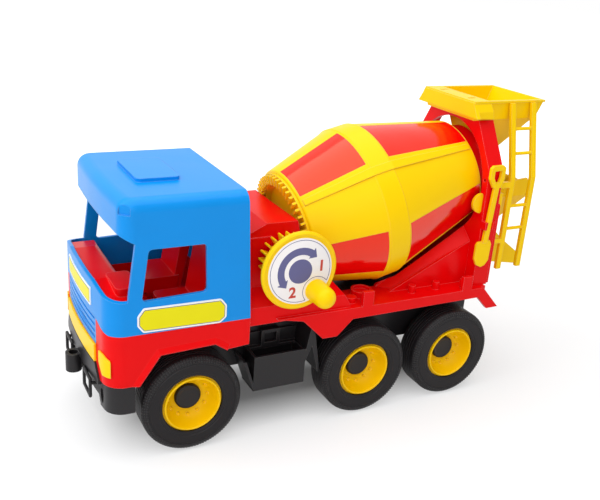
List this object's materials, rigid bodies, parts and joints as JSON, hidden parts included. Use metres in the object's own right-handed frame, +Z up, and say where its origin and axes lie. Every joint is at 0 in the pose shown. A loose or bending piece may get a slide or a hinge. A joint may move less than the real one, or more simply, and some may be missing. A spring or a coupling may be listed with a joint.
{
  "type": "toy cement mixer truck",
  "caption": "Toy cement mixer truck: wheeled cab and deck, tilted mixing drum geared to a side hand crank, filling hopper, swinging chute, ladder and clip-on shovel.",
  "frame": {"origin": "on the floor, in the mid-plane, straight under the front axle", "axes": "+X to the rear of the truck, -Y to its left side, +Z up"},
  "size_m": [0.3738, 0.1465, 0.2265],
  "materials": {
    "steel": "satin",
    "tyre_black": "satin",
    "rim_yellow": "satin",
    "black_plastic": "matte",
    "blue_plastic": "gloss",
    "red_plastic": "gloss",
    "red_gloss": "high gloss",
    "yellow_plastic": "gloss",
    "sticker_front": "printed film",
    "sticker_side": "printed film",
    "label_print": "printed film"
  },
  "bodies": {
    "truck": {"chassis_frame": "black_plastic", "cab_shell": "blue_plastic", "cab_lower": "red_plastic", "dashboard": "red_plastic", "grille_bar": "yellow_plastic", "front_plate": "sticker_front", "side_bin_left": "black_plastic", "seat_left": "red_plastic", "headlight_left": "yellow_plastic", "side_plate_left": "sticker_side", "side_bin_right": "black_plastic", "seat_right": "red_plastic", "headlight_right": "yellow_plastic", "side_plate_right": "sticker_side", "bumper": "black_plastic", "bumper_guards": "black_plastic", "cab_screws": "steel", "deck_screws": "steel", "mixer_deck": "red_plastic", "rear_frame": "red_plastic", "hopper": "yellow_plastic", "collector": "yellow_plastic", "ladder": "yellow_plastic"},
    "wheels_front": {"axle_front": "steel", "tyre_front_left": "tyre_black", "tyre_front_right": "tyre_black", "rim_front_left": "rim_yellow", "rim_front_right": "rim_yellow", "hub_cap_front_left": "black_plastic", "hub_cap_front_right": "black_plastic"},
    "wheels_middle": {"axle_middle": "steel", "tyre_middle_left": "tyre_black", "tyre_middle_right": "tyre_black", "rim_middle_left": "rim_yellow", "rim_middle_right": "rim_yellow", "hub_cap_middle_left": "black_plastic", "hub_cap_middle_right": "black_plastic"},
    "wheels_rear": {"axle_rear": "steel", "tyre_rear_left": "tyre_black", "tyre_rear_right": "tyre_black", "rim_rear_left": "rim_yellow", "rim_rear_right": "rim_yellow", "hub_cap_rear_left": "black_plastic", "hub_cap_rear_right": "black_plastic"},
    "drum": {"drum_gear_ring": "yellow_plastic", "drum_shell_upper": "yellow_plastic", "drum_shell_lower": "yellow_plastic", "drum_front_panels": "red_gloss", "drum_rear_panels": "red_gloss"},
    "crank": {"crank_disc": "yellow_plastic", "crank_label": "label_print", "crank_knob": "yellow_plastic", "peg_wheel": "yellow_plastic"},
    "chute": {"chute": "yellow_plastic"},
    "shovel": {"shovel": "yellow_plastic"}
  },
  "joints": [
    {"name": "axle_front_spin", "type": "hinge", "parent": "truck", "child": "wheels_front", "pos_m": [0, 0, 0.035], "axis": [0, 1, 0], "continuous": true},
    {"name": "axle_middle_spin", "type": "hinge", "parent": "truck", "child": "wheels_middle", "pos_m": [0.1335, 0, 0.035], "axis": [0, 1, 0], "continuous": true},
    {"name": "axle_rear_spin", "type": "hinge", "parent": "truck", "child": "wheels_rear", "pos_m": [0.2118, 0, 0.035], "axis": [0, 1, 0], "continuous": true},
    {"name": "drum_spin", "type": "hinge", "parent": "truck", "child": "drum", "pos_m": [0.1496, 0, 0.1456], "axis": [0.9694, 0, 0.2453], "continuous": true},
    {"name": "crank_turn", "type": "hinge", "parent": "truck", "child": "crank", "pos_m": [0.06933, 0, 0.12529], "axis": [0, 1, 0], "continuous": true},
    {"name": "chute_swing", "type": "hinge", "parent": "truck", "child": "chute", "pos_m": [0.263, 0, 0.122], "axis": [0, 0, 1], "range_deg": [-35, 35]},
    {"name": "shovel_pull", "type": "slide", "parent": "truck", "child": "shovel", "axis": [0, -1, 0], "range_m": [0, 0.015]}
  ],
  "couplings": [
    {"joint": "crank_turn", "follows": "drum_spin", "ratio": 2.5}
  ]
}
